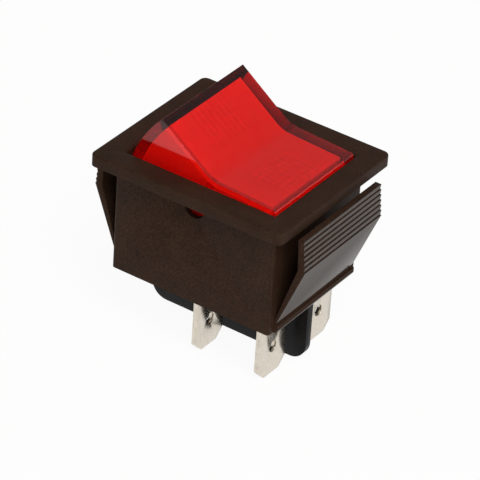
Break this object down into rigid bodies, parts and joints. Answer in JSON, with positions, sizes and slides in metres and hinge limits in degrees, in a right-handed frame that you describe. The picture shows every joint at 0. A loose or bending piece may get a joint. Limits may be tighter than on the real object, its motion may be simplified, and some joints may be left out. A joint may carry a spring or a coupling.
{
  "type": "panel rocker switch",
  "caption": "Snap-in double-pole panel rocker switch with a translucent red rocker, see-saw contacts, an inner lamp and flat blade terminals split by a barrier.",
  "frame": {"origin": "centre of the panel face, under the bezel", "axes": "+Z out of the panel towards the user, +X along the rocker towards its pressed end and the load terminals, Y along the rocker's pivot"},
  "size_m": [0.0344, 0.0264, 0.0352],
  "materials": {
    "housing_nylon": "fine moulded grain",
    "rocker_red": "polished, translucent",
    "base_black": "satin",
    "tinned_brass": "tinned",
    "contact_copper": "satin",
    "contact_silver": "polished",
    "plunger_white": "smooth",
    "spring_steel": "drawn wire",
    "lamp_glass": "clear",
    "lead_wire": "tinned wire",
    "sleeve_clear": "soft tube",
    "resistor_body": "lacquered"
  },
  "bodies": {
    "switch_body": {"housing": "housing_nylon", "base": "base_black", "common_terminal_front": "tinned_brass", "common_terminal_back": "tinned_brass", "load_terminal_front": "tinned_brass", "load_terminal_back": "tinned_brass", "fixed_contact_front": "contact_silver", "fixed_contact_back": "contact_silver", "lamp_glass": "lamp_glass", "lamp_lead_front": "lead_wire", "lamp_lead_back": "lead_wire", "lead_sleeve": "sleeve_clear", "lead_ferrule": "lead_wire", "resistor": "resistor_body", "resistor_leads": "lead_wire"},
    "rocker": {"rocker": "rocker_red", "plunger_spring_front": "spring_steel", "plunger_spring_back": "spring_steel"},
    "plunger_front": {"plunger_front": "plunger_white"},
    "plunger_back": {"plunger_back": "plunger_white"},
    "blade_front": {"contact_blade_front": "contact_copper", "moving_contact_front": "contact_silver"},
    "blade_back": {"contact_blade_back": "contact_copper", "moving_contact_back": "contact_silver"}
  },
  "joints": [
    {"name": "rocker_tilt", "type": "hinge", "parent": "switch_body", "child": "rocker", "pos_m": [0, 0, -0.00176], "axis": [0, -1, 0], "range_deg": [0, 39.6]},
    {"name": "blade_front_tilt", "type": "hinge", "parent": "switch_body", "child": "blade_front", "pos_m": [0, -0.0055, -0.01161], "axis": [0, 1, 0], "range_deg": [0, 16.1]},
    {"name": "blade_back_tilt", "type": "hinge", "parent": "switch_body", "child": "blade_back", "pos_m": [0, 0.0055, -0.01161], "axis": [0, 1, 0], "range_deg": [0, 16.1]},
    {"name": "plunger_front_slide", "type": "slide", "parent": "rocker", "child": "plunger_front", "axis": [0.3387, 0, 0.9409], "range_m": [0, 0.0006], "stiffness_N_per_m": 300, "deforming": ["plunger_spring_front"]},
    {"name": "plunger_back_slide", "type": "slide", "parent": "rocker", "child": "plunger_back", "axis": [0.3387, 0, 0.9409], "range_m": [0, 0.0006], "stiffness_N_per_m": 300, "deforming": ["plunger_spring_back"]}
  ],
  "couplings": [
    {"joint": "blade_front_tilt", "follows": "rocker_tilt", "ratio": 0.40404},
    {"joint": "blade_back_tilt", "follows": "rocker_tilt", "ratio": 0.40404}
  ]
}
